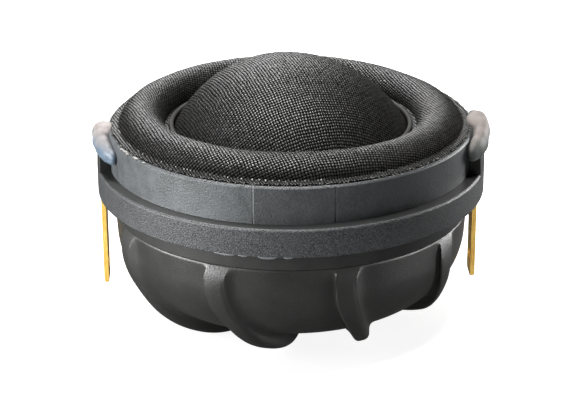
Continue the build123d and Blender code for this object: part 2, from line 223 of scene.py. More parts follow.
# ================================================================ material helpers
class Shade:
    """A material and short ways of adding nodes to it."""

    def __init__(self, name, **values):
        self.material = bpy.data.materials.new(name)
        self.material.use_nodes = True
        self.tree = self.material.node_tree
        self.skin = self.tree.nodes["Principled BSDF"]
        for label, value in values.items():
            self.skin.inputs[label.replace("_", " ")].default_value = value

    def node(self, kind, settings=None, **links):
        made = self.tree.nodes.new(kind)
        for key, value in (settings or {}).items():
            setattr(made, key, value)
        for label, value in links.items():
            self.plug(made.inputs[label.replace("_", " ")], value)
        return made

    def plug(self, socket, value):
        if isinstance(value, bpy.types.NodeSocket):
            self.tree.links.new(value, socket)
        else:
            socket.default_value = value

    def math(self, operation, first, second=None, third=None):
        made = self.tree.nodes.new("ShaderNodeMath")
        made.operation = operation
        for socket, value in zip(made.inputs, (first, second, third)):
            if value is not None:
                self.plug(socket, value)
        return made.outputs[0]

    def ramp(self, factor, *stops):
        """Colour ramp; each stop is a position and a grey value or a colour."""
        made = self.tree.nodes.new("ShaderNodeValToRGB")
        self.plug(made.inputs[0], factor)
        elements = made.color_ramp.elements
        while len(elements) < len(stops):
            elements.new(0.5)
        for element, (position, value) in zip(elements, stops):
            element.position = position
            if isinstance(value, (int, float)):
                value = (value, value, value)
            element.color = (*value, 1.0)
        return made.outputs[0]

    def place(self):
        return self.node("ShaderNodeTexCoord").outputs["Object"]

    def speckle(self, size, detail=2.0, roughness=0.5, where=None, distortion=0.0):
        """Noise whose lumps are about size millimetres across."""
        made = self.node("ShaderNodeTexNoise", Vector=where or self.place(), Scale=1 / (size * MM))
        made.inputs["Detail"].default_value = detail
        made.inputs["Roughness"].default_value = roughness
        made.inputs["Distortion"].default_value = distortion
        return made.outputs[0]

    def bump(self, height, distance, strength=1.0, under=None):
        """Normal of a surface whose height is a texture times distance in millimetres."""
        made = self.node("ShaderNodeBump", Height=height, Distance=distance * MM, Strength=strength)
        if under is not None:
            self.plug(made.inputs["Normal"], under)
        return made.outputs[0]

    def mix(self, factor, first, second):
        made = self.tree.nodes.new("ShaderNodeMix")
        made.data_type = "RGBA"
        self.plug(made.inputs[0], factor)
        self.plug(made.inputs[6], first)
        self.plug(made.inputs[7], second)
        return made.outputs[2]

    def set(self, **values):
        for label, value in values.items():
            self.plug(self.skin.inputs[label.replace("_", " ")], value)
        return self


# ================================================================ materials
WEAVE_PITCH = 0.315
WEAVE_ANGLE = 17.0


def cloth_material():
    """Plain weave of coated dark threads, laid out by the vertices' own weave coordinates, with
    painted shade darkening the gaps between threads.
    """
    s = Shade("coated_weave", Specular_IOR_Level=0.3)
    laid = s.node("ShaderNodeAttribute", {"attribute_name": "weave"}).outputs["Vector"]
    wander = s.node("ShaderNodeTexNoise", Vector=laid, Scale=0.35)
    drift = s.node("ShaderNodeVectorMath", {"operation": "MULTIPLY_ADD"})
    s.plug(drift.inputs[0], wander.outputs["Color"])
    drift.inputs[1].default_value = (0.55, 0.55, 0.0)
    s.plug(drift.inputs[2], laid)
    turned = s.node("ShaderNodeMapping", {"vector_type": "TEXTURE"}, Vector=drift.outputs[0])
    turned.inputs["Rotation"].default_value = (0, 0, math.radians(WEAVE_ANGLE))
    turned.inputs["Scale"].default_value = (WEAVE_PITCH, WEAVE_PITCH, 1.0)
    axes = s.node("ShaderNodeSeparateXYZ", Vector=turned.outputs[0])
    u, v = axes.outputs[0], axes.outputs[1]

    def thread(across, along, turn_over):
        """Height of one set of threads: round across, and over and under along."""
        place = s.math("FRACT", across)
        centred = s.math("MULTIPLY_ADD", place, 2.0, -1.0)
        squared = s.math("MULTIPLY", centred, centred)
        back = s.math("SUBTRACT", 1.0, squared)
        round_top = s.math("SQRT", s.math("MAXIMUM", back, 0.0))
        number = s.math("FLOOR", across)
        phase = s.math("ADD", along, number)
        sway = s.math("SINE", s.math("MULTIPLY", phase, math.pi))
        swing = s.math("MULTIPLY", sway, turn_over * 0.30)
        return s.math("MULTIPLY_ADD", round_top, 0.62, swing)

    warp = thread(u, v, 1.0)
    weft = s.math("ADD", thread(v, u, -1.0), -0.07)
    height = s.math("MAXIMUM", warp, weft)
    uneven = s.node("ShaderNodeTexNoise", Vector=turned.outputs[0], Scale=0.55).outputs[0]
    clots = s.node("ShaderNodeTexNoise", Vector=laid, Scale=1.4).outputs[0]
    top = s.math("MULTIPLY_ADD", uneven, 0.5, s.math("MULTIPLY_ADD", clots, 0.3, -0.4))
    lit = s.math("ADD", height, s.math("MULTIPLY", top, 0.55))
    # Painted shade: the colour falls to near black where the weave is low, in the gaps between
    # threads.
    colour = s.ramp(
        lit, (0.30, 0.0006), (0.60, 0.003),
        (0.80, (0.0105, 0.0102, 0.0093)), (1.0, (0.036, 0.034, 0.030)),
    )
    rough = s.ramp(lit, (0.35, 0.90), (0.80, 0.36))
    gloss = s.ramp(lit, (0.50, 0.0), (0.92, 0.52))
    normal = s.bump(height, 0.12, 1.0)
    s.set(Base_Color=colour, Roughness=rough, Normal=normal, Specular_IOR_Level=gloss)
    return s.material


def chassis_material():
    """Black plastic with a few scuffs: blasted round the flange, smooth above and below, where it is
    also darker as painted shade at the ring's foot and under the flange.
    """
    s = Shade("blasted_plastic", Specular_IOR_Level=0.34)
    grain = s.speckle(0.15, 3.0, 0.65)
    cloud = s.speckle(2.6, 4.0, 0.6)
    scuff = s.node("ShaderNodeTexNoise", Vector=stretched_place(s, (1.0, 1.0, 7.0)), Scale=900.0)
    scuff.inputs["Detail"].default_value = 4.0
    marks = s.ramp(scuff.outputs[0], (0.62, 0.0), (0.74, 1.0))
    base = s.mix(cloud, (0.007, 0.0075, 0.0080, 1), (0.018, 0.0188, 0.0195, 1))
    # Painted shade: above the blasted band (the flange's top face) and below it (the collar) the
    # smooth tone is darker, as shade at the ring's foot and under the flange.
    height = s.node("ShaderNodeSeparateXYZ", Vector=s.place()).outputs[2]
    above = s.math("GREATER_THAN", height, (FLANGE_BOTTOM + 0.05) * MM)
    below = s.math("LESS_THAN", height, (FLANGE_TOP - 0.02) * MM)
    blasted = s.math("MULTIPLY", above, below)
    specks = s.math("MULTIPLY", s.ramp(grain, (0.40, 0.0), (0.70, 1.0)), blasted)
    base = s.mix(specks, base, (0.046, 0.048, 0.050, 1))
    base = s.mix(marks, base, (0.036, 0.038, 0.040, 1))
    smooth = s.mix(cloud, (0.0085, 0.0088, 0.0084, 1), (0.0185, 0.0190, 0.0180, 1))
    s.set(Base_Color=s.mix(blasted, smooth, base))
    rough = s.math("MULTIPLY_ADD", cloud, 0.14, 0.36)
    rugged = s.math("MULTIPLY", grain, s.math("MULTIPLY_ADD", blasted, 0.85, 0.15))
    s.set(Roughness=rough, Normal=s.bump(rugged, 0.085, 0.8))
    return s.material


def stretched_place(s, scale):
    """Object coordinates stretched along an axis, for grain that runs along it."""
    made = s.node("ShaderNodeMapping", Vector=s.place())
    made.inputs["Scale"].default_value = scale
    return made.outputs[0]


def ring_material():
    """Smooth grey-black moulding with cloudy gloss, fine scratches and dull patches, painted lighter
    in cloudy patches to the left of its mould line as painted light from the left.
    """
    s = Shade("ring_plastic", Specular_IOR_Level=0.48)
    cloud = s.speckle(3.2, 4.0, 0.62)
    fine = s.speckle(0.20, 3.0, 0.65)
    upright, level = stretched_place(s, (1.0, 1.0, 0.12)), stretched_place(s, (0.3, 0.3, 5.0))
    streaks = s.node("ShaderNodeTexNoise", Vector=upright, Scale=2600.0)
    scratches = s.node("ShaderNodeTexNoise", Vector=level, Scale=1500.0)
    scratches.inputs["Detail"].default_value = 5.0
    marks = s.ramp(scratches.outputs[0], (0.68, 0.0), (0.80, 0.6))
    base = s.mix(cloud, (0.010, 0.0112, 0.0120, 1), (0.027, 0.030, 0.0320, 1))
    # Painted light: to the left of the mould line, the side the key lamp lights, the colour is lighter
    # in cloudy patches.
    axes = s.node("ShaderNodeSeparateXYZ", Vector=s.place())
    around = s.math("ARCTAN2", axes.outputs[1], axes.outputs[0])
    side = s.node("ShaderNodeMapRange", Value=around)
    side.inputs["From Min"].default_value = math.radians(WITNESS_ANGLE + 0.3)
    side.inputs["From Max"].default_value = math.radians(WITNESS_ANGLE - 0.3)
    side_light_and_marks = s.mix(side.outputs[0], base, (0.062, 0.068, 0.073, 1))
    side_light_and_marks = s.mix(s.math("MULTIPLY_ADD", cloud, 1.4, -0.35), base, side_light_and_marks)
    specks = s.ramp(fine, (0.38, 0.0), (0.68, 0.45))
    side_light_and_marks = s.mix(specks, side_light_and_marks, (0.044, 0.047, 0.048, 1))
    off_line = s.math("ABSOLUTE", s.math("SUBTRACT", around, math.radians(WITNESS_ANGLE)))
    line = s.node("ShaderNodeMapRange", Value=off_line)
    line.inputs["From Max"].default_value = math.radians(0.35)
    line.inputs["To Min"].default_value = 0.8
    line.inputs["To Max"].default_value = 0.0
    side_light_and_marks = s.mix(line.outputs[0], side_light_and_marks, (0.150, 0.160, 0.165, 1))
    s.set(Base_Color=s.mix(marks, side_light_and_marks, (0.070, 0.075, 0.078, 1)))
    patchy = s.math("MULTIPLY_ADD", cloud, 0.24, 0.26)
    s.set(Roughness=s.math("MULTIPLY_ADD", fine, 0.14, patchy))
    fine_bump = s.bump(fine, 0.055, 0.8)
    s.set(Normal=s.bump(streaks.outputs[0], 0.010, 0.5, fine_bump))
    return s.material


def chamber_material():
    """Deep black satin plastic."""
    s = Shade("chamber_plastic", Specular_IOR_Level=0.34)
    cloud = s.speckle(4.0, 4.0, 0.6)
    fine = s.speckle(0.22, 3.0, 0.6)
    s.set(Base_Color=s.mix(cloud, (0.0065, 0.0068, 0.0063, 1), (0.0130, 0.0135, 0.0125, 1)))
    s.set(Roughness=s.math("MULTIPLY_ADD", cloud, 0.16, 0.36))
    s.set(Normal=s.bump(fine, 0.035, 0.7))
    return s.material


def gold_material():
    """Flashed brass blade with rolling lines, thin plating and tarnish."""
    s = Shade("gold_plate", Metallic=0.45)
    rolled = s.node("ShaderNodeTexNoise", Vector=stretched_place(s, (6.0, 6.0, 0.25)), Scale=1500.0)
    rolled.inputs["Detail"].default_value = 4.0
    stain = s.speckle(1.8, 4.0, 0.65)
    tarnish = s.ramp(stain, (0.35, 0.0), (0.68, 1.0))
    tone = s.mix(tarnish, (0.92, 0.60, 0.15, 1), (0.70, 0.40, 0.07, 1))
    s.set(Base_Color=tone, Roughness=s.math("MULTIPLY_ADD", rolled.outputs[0], 0.26, 0.16))
    s.set(Normal=s.bump(rolled.outputs[0], 0.012, 0.6))
    return s.material


def glue_material(name, low, middle, high, roughness):
    """Milky adhesive with trapped bubbles and a pearly skin, paler towards its top as painted light
    from above.
    """
    s = Shade(name, IOR=1.42, Specular_IOR_Level=0.3)
    cloud = s.speckle(1.5, 4.0, 0.6, distortion=0.6)
    fine = s.speckle(0.35, 3.0, 0.6)
    height = s.node("ShaderNodeSeparateXYZ", Vector=s.place()).outputs[2]
    # Painted light: the tone ramps paler towards the drop's top, which faces the lamp above.
    rise = s.node("ShaderNodeMapRange", Value=height)
    rise.inputs["From Min"].default_value = (FLANGE_TOP + 2.6) * MM
    rise.inputs["From Max"].default_value = (FLANGE_TOP + 4.2) * MM
    blotch_and_top_light = s.math("MULTIPLY_ADD", cloud, 0.8, s.math("SUBTRACT", rise.outputs[0], 0.4))
    tone = s.ramp(blotch_and_top_light, (0.15, low), (0.60, middle), (0.95, high))
    s.set(Base_Color=tone, Roughness=s.math("MULTIPLY_ADD", fine, 0.25, roughness))
    s.set(Subsurface_Weight=0.5, Subsurface_Scale=0.8 * MM, Transmission_Weight=0.25)
    s.skin.inputs["Subsurface Radius"].default_value = (1.0, 0.8, 0.7)
    lumps = s.bump(cloud, 0.08, 0.6)
    s.set(Normal=s.bump(fine, 0.015, 0.5, lumps))
    return s.material


def metal_material(name, low, high, roughness, size=0.4, stretch=(1.0, 1.0, 1.0), bump=0.008):
    """Worn plated metal between two tones."""
    s = Shade(name, Metallic=1.0)
    cloud = s.speckle(2.5, 4.0, 0.6)
    lines = s.node("ShaderNodeTexNoise", Vector=stretched_place(s, stretch), Scale=1 / (size * MM))
    lines.inputs["Detail"].default_value = 4.0
    s.set(Base_Color=s.mix(cloud, (*low, 1), (*high, 1)))
    s.set(Roughness=s.math("MULTIPLY_ADD", lines.outputs[0], 0.22, roughness - 0.1))
    s.set(Normal=s.bump(lines.outputs[0], bump, 0.6))
    return s.material


def felt_material():
    """Grey felt of short tangled fibres."""
    s = Shade("grey_felt", Specular_IOR_Level=0.15, Sheen_Weight=0.5, Sheen_Roughness=0.6)
    fibre = s.speckle(0.16, 5.0, 0.7, distortion=2.5)
    cloud = s.speckle(1.6, 3.0, 0.6)
    tone = s.mix(s.math("MULTIPLY_ADD", cloud, 0.5, s.math("MULTIPLY", fibre, 0.5)),
                 (0.06, 0.06, 0.062, 1), (0.26, 0.26, 0.27, 1))
    s.set(Base_Color=tone, Roughness=s.math("MULTIPLY_ADD", fibre, 0.15, 0.84))
    s.set(Normal=s.bump(fibre, 0.10, 0.8))
    return s.material


def plain_material(name, low, high, roughness, size, bump, **values):
    """Soft or cast material with a cloudy tone and a fine surface."""
    s = Shade(name, **values)
    cloud = s.speckle(size * 5, 4.0, 0.6)
    fine = s.speckle(size, 3.0, 0.6)
    s.set(Base_Color=s.mix(cloud, (*low, 1), (*high, 1)))
    s.set(Roughness=s.math("MULTIPLY_ADD", fine, 0.2, roughness - 0.1))
    s.set(Normal=s.bump(fine, bump, 0.6))
    return s.material


cloth = cloth_material()
chassis_plastic = chassis_material()
ring_plastic = ring_material()
chamber_plastic = chamber_material()
gold = gold_material()
left_glue = glue_material(
    "adhesive_left", (0.070, 0.095, 0.125), (0.125, 0.122, 0.124), (0.150, 0.130, 0.122), 0.34,
)
# The right drop's copy has darker tones than the left's: painted shade on the side away from the key
# lamp, with a greyer tint.
right_glue = glue_material(
    "adhesive_right", (0.048, 0.052, 0.050), (0.080, 0.080, 0.074), (0.145, 0.125, 0.115), 0.52,
)
felt = felt_material()
rubber = plain_material("seal_rubber", (0.008, 0.008, 0.008), (0.02, 0.02, 0.02), 0.75, 0.2, 0.02)
steel = metal_material("zinc_plated_steel", (0.42, 0.42, 0.40), (0.62, 0.61, 0.58), 0.38)
nickel = metal_material("nickel_plate", (0.55, 0.53, 0.50), (0.70, 0.68, 0.64), 0.25)
copper = metal_material("copper", (0.60, 0.24, 0.12), (0.80, 0.38, 0.22), 0.30)
enamel = metal_material("enamelled_wire", (0.45, 0.14, 0.05), (0.66, 0.26, 0.10), 0.28)
tinsel = metal_material("tinsel_wire", (0.58, 0.34, 0.20), (0.80, 0.52, 0.34), 0.34, 0.2)
brass = metal_material("vent_brass", (0.60, 0.42, 0.16), (0.78, 0.58, 0.26), 0.32)
solder = metal_material("solder", (0.50, 0.50, 0.50), (0.70, 0.70, 0.69), 0.30, 0.3)
bead_glue = plain_material("bead_glue", (0.012, 0.012, 0.011), (0.034, 0.033, 0.030), 0.55, 0.3, 0.03)
film = plain_material("former_film", (0.010, 0.008, 0.006), (0.022, 0.016, 0.010), 0.32, 0.25, 0.004)


# ================================================================ CAD nodes that are shown
def dress(node, material, bevel=0.0):
    """Gives a CAD node its material, and softens its edges by a width in millimetres."""
    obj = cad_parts[node]
    obj.data.materials.clear()
    obj.data.materials.append(material)
    obj.data.polygons.foreach_set("use_smooth", [True] * len(obj.data.polygons))
    weld = obj.modifiers.new("weld", "WELD")
    weld.merge_threshold = 2e-6
    if bevel:
        soft = obj.modifiers.new("bevel", "BEVEL")
        soft.width = bevel * MM
        soft.segments = 3
        soft.limit_method = "ANGLE"
        soft.angle_limit = math.radians(40)
    split = obj.modifiers.new("sharp", "EDGE_SPLIT")
    split.split_angle = math.radians(38)
    obj.modifiers.new("normals", "WEIGHTED_NORMAL")
    return obj


dress("chassis_flange", chassis_plastic, 0.10)
dress("diaphragm_ring", ring_plastic, 0.06)
dress("terminal_left", gold, 0.05)
dress("terminal_right", gold, 0.05)
dress("solder_joint_left", solder)
dress("solder_joint_right", solder)
dress("chamber_gasket", rubber)
dress("yoke_pot", steel)
dress("magnet", nickel)
dress("pole_plate", steel)
dress("copper_cap", copper)
dress("vent_tube", brass)
dress("coil_former", film)
dress("coil_glue_bead", bead_glue)


# ================================================================ cloth
DOME_R = 14.18
DOME_CENTRE_Z = FLANGE_TOP - 3.04
DOME_FOOT_R = 12.44
APEX_LEAN = -0.37
ROLL_R = 16.1
ROLL_Z = RING_TOP - 0.25
ROLL_OUT = 2.47
CUFF_R = 13.2
RIM_R = 19.35
FOOT_R = 18.52
CLOTH_COLUMNS = 288


def weave_radius(profile, stretch):
    """How far each point of a profile is from its first on the flat cloth, before it was formed."""
    line = np.array(profile, float)
    steps = np.diff(line, axis=0)
    lengths = np.linalg.norm(steps, axis=1)
    grown = (1 - stretch) * lengths + stretch * np.abs(steps[:, 0])
    return np.concatenate([[0.0], np.cumsum(grown)])


def cloth_piece(name, profile, laid, shift, pole=False):
    """Revolved cloth, with its weave coordinates, thickened inwards."""
    points, weave = [], []
    rows = list(zip(profile, laid))
    if pole:
        dx, dy, dz = shift(0.0, 0.0, profile[0][1])
        points.append((dx, dy, profile[0][1] + dz))
        weave.append((0.0, 0.0, 0.0))
        rows = rows[1:]
    for (radius, height), rho in rows:
        for column in range(CLOTH_COLUMNS):
            turn = 2 * math.pi * column / CLOTH_COLUMNS
            c, s = math.cos(turn), math.sin(turn)
            dx, dy, dz = shift(turn, radius, height)
            points.append((radius * c + dx, radius * s + dy, height + dz))
            weave.append((rho * c, rho * s, 0.0))
    first = 1 if pole else 0
    faces = grid_faces(len(rows), CLOTH_COLUMNS, first)
    if pole:
        for column in range(CLOTH_COLUMNS):
            faces.append((0, first + (column + 1) % CLOTH_COLUMNS, first + column))
    obj = piece(name, points, faces, cloth)
    kept = obj.data.attributes.new("weave", "FLOAT_VECTOR", "POINT")
    kept.data.foreach_set("vector", np.array(weave, np.float32).ravel())
    if obj.data.polygons[len(faces) // 2].normal.z < 0:
        obj.data.flip_normals()
    thick = obj.modifiers.new("thickness", "SOLIDIFY")
    thick.thickness = CLOTH * MM
    thick.offset = -1.0
    thick.use_rim = pole
    return obj


def dome_shift(turn, radius, height):
    """The dome leans a little, and its skin isn't quite even."""
    share = max(0.0, 1 - (radius / DOME_FOOT_R) ** 2)
    x, y = radius * math.cos(turn), radius * math.sin(turn)
    lump = 0.05 * share * wobble(x, y, 0.0, 5.0, 3.0)
    return APEX_LEAN * share, 0.0, lump


def roll_shift(turn, radius, height):
    """The roll sits a little lower at the right and its crest wanders."""
    x, y = radius * math.cos(turn), radius * math.sin(turn)
    rise = smoothstep(ROLL_Z, ROLL_Z + ROLL_OUT, height)
    sag = -0.38 * smoothstep(0.2, 1.0, math.cos(turn)) * rise
    lump = rise * (0.09 * wobble(x, y, 0.0, 6.0, 1.0) + 0.03 * wobble(x, y, 0.0, 2.2, 5.0))
    return 0.0, 0.0, sag + lump


foot_angle = math.degrees(math.acos(DOME_FOOT_R / DOME_R))
dome_profile = arc((0, DOME_CENTRE_Z), DOME_R, 90, foot_angle, 64)
dome_profile += [(12.54, 20.74), (12.62, 20.5), (12.66, 20.25)]
dome_laid = weave_radius(dome_profile, 0.25)
cloth_dome = cloth_piece("cloth_dome", dome_profile, dome_laid, dome_shift, pole=True)
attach(cloth_dome, "diaphragm")
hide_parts("dome")

inner_profile = [(CUFF_R, ROLL_Z), (13.42, ROLL_Z - 0.02)]
inner_profile += arc((ROLL_R, ROLL_Z), ROLL_OUT, 180, 90, 44)
inner_laid = weave_radius(inner_profile, 0.0)
inner_laid += ROLL_R - inner_laid[-1]
cloth_surround = cloth_piece("cloth_surround", inner_profile, inner_laid, roll_shift)

outer_profile = arc((ROLL_R, ROLL_Z), ROLL_OUT, 90, 14, 40)
outer_profile += [(FOOT_R + 0.07, 21.47), (FOOT_R + 0.2, 21.445), (18.95, 21.44), (19.2, 21.43)]
outer_profile += [(RIM_R - 0.03, 21.40), (RIM_R, 21.33), (RIM_R, 21.21)]


def rim_shift(turn, radius, height):
    """As the roll, with a cut edge that wanders in and out."""
    dx, dy, dz = roll_shift(turn, radius, height)
    edge = smoothstep(18.9, RIM_R, radius)
    out = edge * (0.05 * wobble(math.cos(turn), math.sin(turn), 0.0, 0.05, 2.0)
                  + 0.04 * wobble(math.cos(turn), math.sin(turn), 0.0, 0.016, 4.0))
    return dx + out * math.cos(turn), dy + out * math.sin(turn), dz


outer_laid = ROLL_R + weave_radius(outer_profile, 0.0)
cloth_rim = cloth_piece("cloth_rim", outer_profile, outer_laid, rim_shift)
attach(cloth_rim, "chassis")
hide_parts("surround_roll")
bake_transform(cloth_surround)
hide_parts("surround_roll")


def frayed_threads():
    """Short thread ends along the rim's cut edge."""
    made = []
    for k in range(420):
        turn = RNG.uniform(0, 2 * math.pi)
        lean = RNG.gauss(0.0, 0.5)
        long = RNG.uniform(0.12, 0.34) * (1.6 if RNG.random() < 0.06 else 1.0)
        start_r = RIM_R - RNG.uniform(0.0, 0.10)
        z = 21.21 + RNG.uniform(0.05, 0.22)
        out = Vector((math.cos(turn + lean), math.sin(turn + lean), 0.0))
        start = Vector((start_r * math.cos(turn), start_r * math.sin(turn), z))
        drop = RNG.uniform(-0.10, 0.14)
        line = [start + out * long * t + Vector((0, 0, drop * t * t)) for t in (0.0, 0.5, 1.0)]
        made.append(tube(f"thread_{k}", line, RNG.uniform(0.020, 0.034), thread_material, sides=4))
    return joined("rim_threads", made)


thread_material = plain_material("thread_ends", (0.05, 0.05, 0.05), (0.30, 0.29, 0.27), 0.5, 0.2, 0.01)
rim_threads = frayed_threads()
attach(rim_threads, "chassis")

# ================================================================ rear chamber
FIN_COUNT = 9
FIN_MISSING = 0
FIN_HALF = 0.75
FIN_INNER_R = 5.2
FIN_RIM_R = 20.0
FIN_ANGLE = 3.0                       # of the first fin's rim, from +X towards +Y
FIN_TWIST = 3.44                      # degrees per millimetre in from the rim
FIN_TWIST_EASE = 0.098
FIN_FOOT = 1.25                       # half of its width at the bowl, with its fillets
UPPER_FIN_SHARE = 0.66                # how far its upper part stands out, of its full height
BOWL_COLUMNS_BETWEEN = 12
BOWL_TOP = SEAM_Z - 0.05
BOWL_BOTTOM = 1.84
BOWL_FLOOR = 3.14
GASKET_SEAT = (18.55, 11.6)
SHELL_ROWS = 96

bowl_line = filleted([(19.2, 11.90), (18.6, 2.15), (0.0, BOWL_BOTTOM)], [7.9], 40)
rim_line = [(19.2, 11.90), (19.52, 11.45), (19.78, 10.9), (19.94, 10.3), (20.0, 9.7)]
rim_line += arc((10.3, 9.7), 9.7, 0, -90, 44)[1:]
rim_line += filleted([(10.3, 0.0), (7.4, 0.0), (FIN_INNER_R, 2.15)], [1.2], 8)[1:]


def split_bowl():
    """The bowl's line down to where the fins end, and the rest of it."""
    dense = resampled(bowl_line, 400)
    inside = dense[:, 0] < FIN_INNER_R
    return dense[~inside], dense[inside]


def fin_turn(radius):
    """Turn of a fin's middle line at a radius, in radians."""
    inward = FIN_RIM_R - max(radius, FIN_INNER_R)
    return math.radians(FIN_TWIST * inward - FIN_TWIST_EASE * inward**2)


def fin_lean(radius):
    """Cosine of the angle between a fin's middle line and the radius."""
    r = max(radius, FIN_INNER_R)
    slope = r * math.radians(FIN_TWIST - 2 * FIN_TWIST_EASE * (FIN_RIM_R - r))
    return 1 / math.sqrt(1 + slope**2)


def fin_section(height, crown):
    """Half section of a fin, from its base to its top: distance off its middle, and height."""
    steps = [(FIN_FOOT, 0.0), (1.02, 0.05), (0.87, 0.16), (0.78, 0.33), (FIN_HALF, 0.52)]
    found = [(off, min(rise, height)) for off, rise in steps]
    side = max(0.0, height - crown)
    for share in (0.33, 0.66, 1.0):
        found.append((FIN_HALF, max(found[4][1], side * share)))
    for turn in (22.5, 45.0, 67.5, 90.0):
        lift = crown * math.sin(math.radians(turn))
        found.append((FIN_HALF - crown * (1 - math.cos(math.radians(turn))),
                      max(found[4][1], min(height, side + lift))))
    return found


def chamber_shell():
    """Bowl with swirled fins, its hollow and its rim, as one closed mesh."""
    outside, middle = split_bowl()
    low = resampled(outside, SHELL_ROWS)
    high = resampled(rim_line, SHELL_ROWS)
    spacing = 2 * math.pi / FIN_COUNT
    points = []

    def ring(bowl_point, rim_point, crown):
        """One row around, with each fin's section in its place."""
        b, f = np.array(bowl_point), np.array(rim_point)
        lower = smoothstep(5.5, 1.5, f[1])
        f = b + (f - b) * (UPPER_FIN_SHARE + (1 - UPPER_FIN_SHARE) * lower)
        rise = float(np.linalg.norm(f - b))
        found = []
        for number in range(FIN_COUNT):
            present = 0.0 if number == FIN_MISSING else 1.0
            half = fin_section(rise * present, min(crown, rise / 2) if present else 0.0)
            both = [(-off, up) for off, up in half] + [(0.0, half[-1][1])]
            both += [(off, up) for off, up in reversed(half)]
            for off, up in both:
                r, z = b + (f - b) * (up / rise if rise > 1e-6 else 0.0)
                turn = math.radians(FIN_ANGLE) + number * spacing + fin_turn(r)
                turn += off / (max(r, FIN_INNER_R) * fin_lean(r))
                found.append((r, z, turn))
            # The bowl between this fin and the next.
            r, z = b
            wide = FIN_FOOT / (max(r, FIN_INNER_R) * fin_lean(r))
            start = math.radians(FIN_ANGLE) + number * spacing + fin_turn(r) + wide
            for step in range(1, BOWL_COLUMNS_BETWEEN):
                share = step / BOWL_COLUMNS_BETWEEN
                found.append((r, z, start + (spacing - 2 * wide) * share))
        return found

    def add(found):
        points.extend((r * math.cos(t), r * math.sin(t), z) for r, z, t in found)

    top = ring(low[0], high[0], 0.0)
    angles = [t for _, _, t in top]
    row_length = len(angles)
    for r, z in ((GASKET_SEAT[0], BOWL_TOP), (18.75, BOWL_TOP), (19.04, BOWL_TOP), (19.14, 12.02)):
        add([(r, z, t) for t in angles])
    for k in range(SHELL_ROWS):
        crown = 0.25 + 0.25 * smoothstep(9.0, 2.0, high[k][1]) if high[k][1] < 9 else 0.25
        add(ring(low[k], high[k], crown))
    last = ring(low[-1], low[-1], 0.0)
    for r, z in resampled(middle, 10)[:-1]:
        add([(r, z, t) for _, _, t in last])
    outer_rows = len(points) // row_length
    faces = grid_faces(outer_rows, row_length)
    bottom = len(points)
    points.append((0.0, 0.0, BOWL_BOTTOM))
    last_row = (outer_rows - 1) * row_length
    for column in range(row_length):
        beside = (column + 1) % row_length
        faces.append((last_row + column, last_row + beside, bottom))
    # Inside, from the seat of the gasket down to the floor.
    inner = filleted([(17.85, 11.6), (17.3, 3.45), (0.0, BOWL_FLOOR)], [6.6], 24)
    inner = [(GASKET_SEAT[0], BOWL_TOP), GASKET_SEAT] + [tuple(p) for p in resampled(inner, 40)]
    start = len(points)
    for r, z in inner[:-1]:
        add([(r, z, t) for t in angles])
    faces += grid_faces(len(inner) - 1, row_length, start)
    centre = len(points)
    points.append((0.0, 0.0, BOWL_FLOOR))
    end = start + (len(inner) - 2) * row_length
    for column in range(row_length):
        beside = (column + 1) % row_length
        faces.append((end + column, end + beside, centre))
    obj = piece("chamber_shell", points, faces, chamber_plastic)
    work = bmesh.new()
    work.from_mesh(obj.data)
    bmesh.ops.remove_doubles(work, verts=work.verts, dist=2e-6)
    bmesh.ops.dissolve_degenerate(work, dist=1e-6, edges=work.edges)
    bmesh.ops.recalc_face_normals(work, faces=work.faces)
    work.to_mesh(obj.data)
    work.free()
    return obj


FLASHES = (
    # first angle, last angle, width
    (-113.5, -107.5, 0.22),
    (-106.5, -104.0, 0.12),
    (-101.0, -96.0, 0.26),
    (-94.0, -91.5, 0.16),
)


def mould_flash():
    """Scraped flash along the flange's lower edge at the front."""
    made = []
    steps = 26
    for first, last, wide in FLASHES:
        points = []
        for k in range(steps + 1):
            turn = math.radians(first + (last - first) * k / steps)
            swell = math.sqrt(max(0.0, math.sin(math.pi * k / steps)))
            reach = wide * swell * (0.6 + 0.4 * RNG.random())
            c, t = math.cos(turn), math.sin(turn)
            section = (
                (20.90, 14.34), (21.02, 14.30 - 0.3 * reach), (20.94, 14.22 - reach), (20.80, 14.24),
            )
            for r, z in section:
                points.append((r * c, r * t, z))
        faces = strip_faces(steps + 1, 4)
        made.append(outward(piece(f"flash_{first}", points, faces, flash_plastic)))
    return joined("mould_flash", made)


flash_plastic = plain_material(
    "flash_plastic", (0.030, 0.033, 0.034), (0.120, 0.128, 0.130), 0.35, 0.3, 0.03,
)
flash = mould_flash()
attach(flash, "chassis")
shell = sharp_edges(chamber_shell(), 50.0)
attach(shell, "chassis")
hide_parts("rear_chamber")


# ================================================================ adhesive over the terminal joints
def ellipsoid(centre, sizes, turn, rows=14, columns=20):
    """Points and faces of an ellipsoid whose first axis lies along a direction in plan."""
    points = []
    for row in range(rows + 1):
        up = math.pi * (row / rows - 0.5)
        for column in range(columns):
            around = 2 * math.pi * column / columns
            x = sizes[0] * math.cos(up) * math.cos(around)
            y = sizes[1] * math.cos(up) * math.sin(around)
            z = sizes[2] * math.sin(up)
            points.append((
                centre[0] + x * math.cos(turn) - y * math.sin(turn),
                centre[1] + x * math.sin(turn) + y * math.cos(turn),
                centre[2] + z,
            ))
    return points, grid_faces(rows + 1, columns)


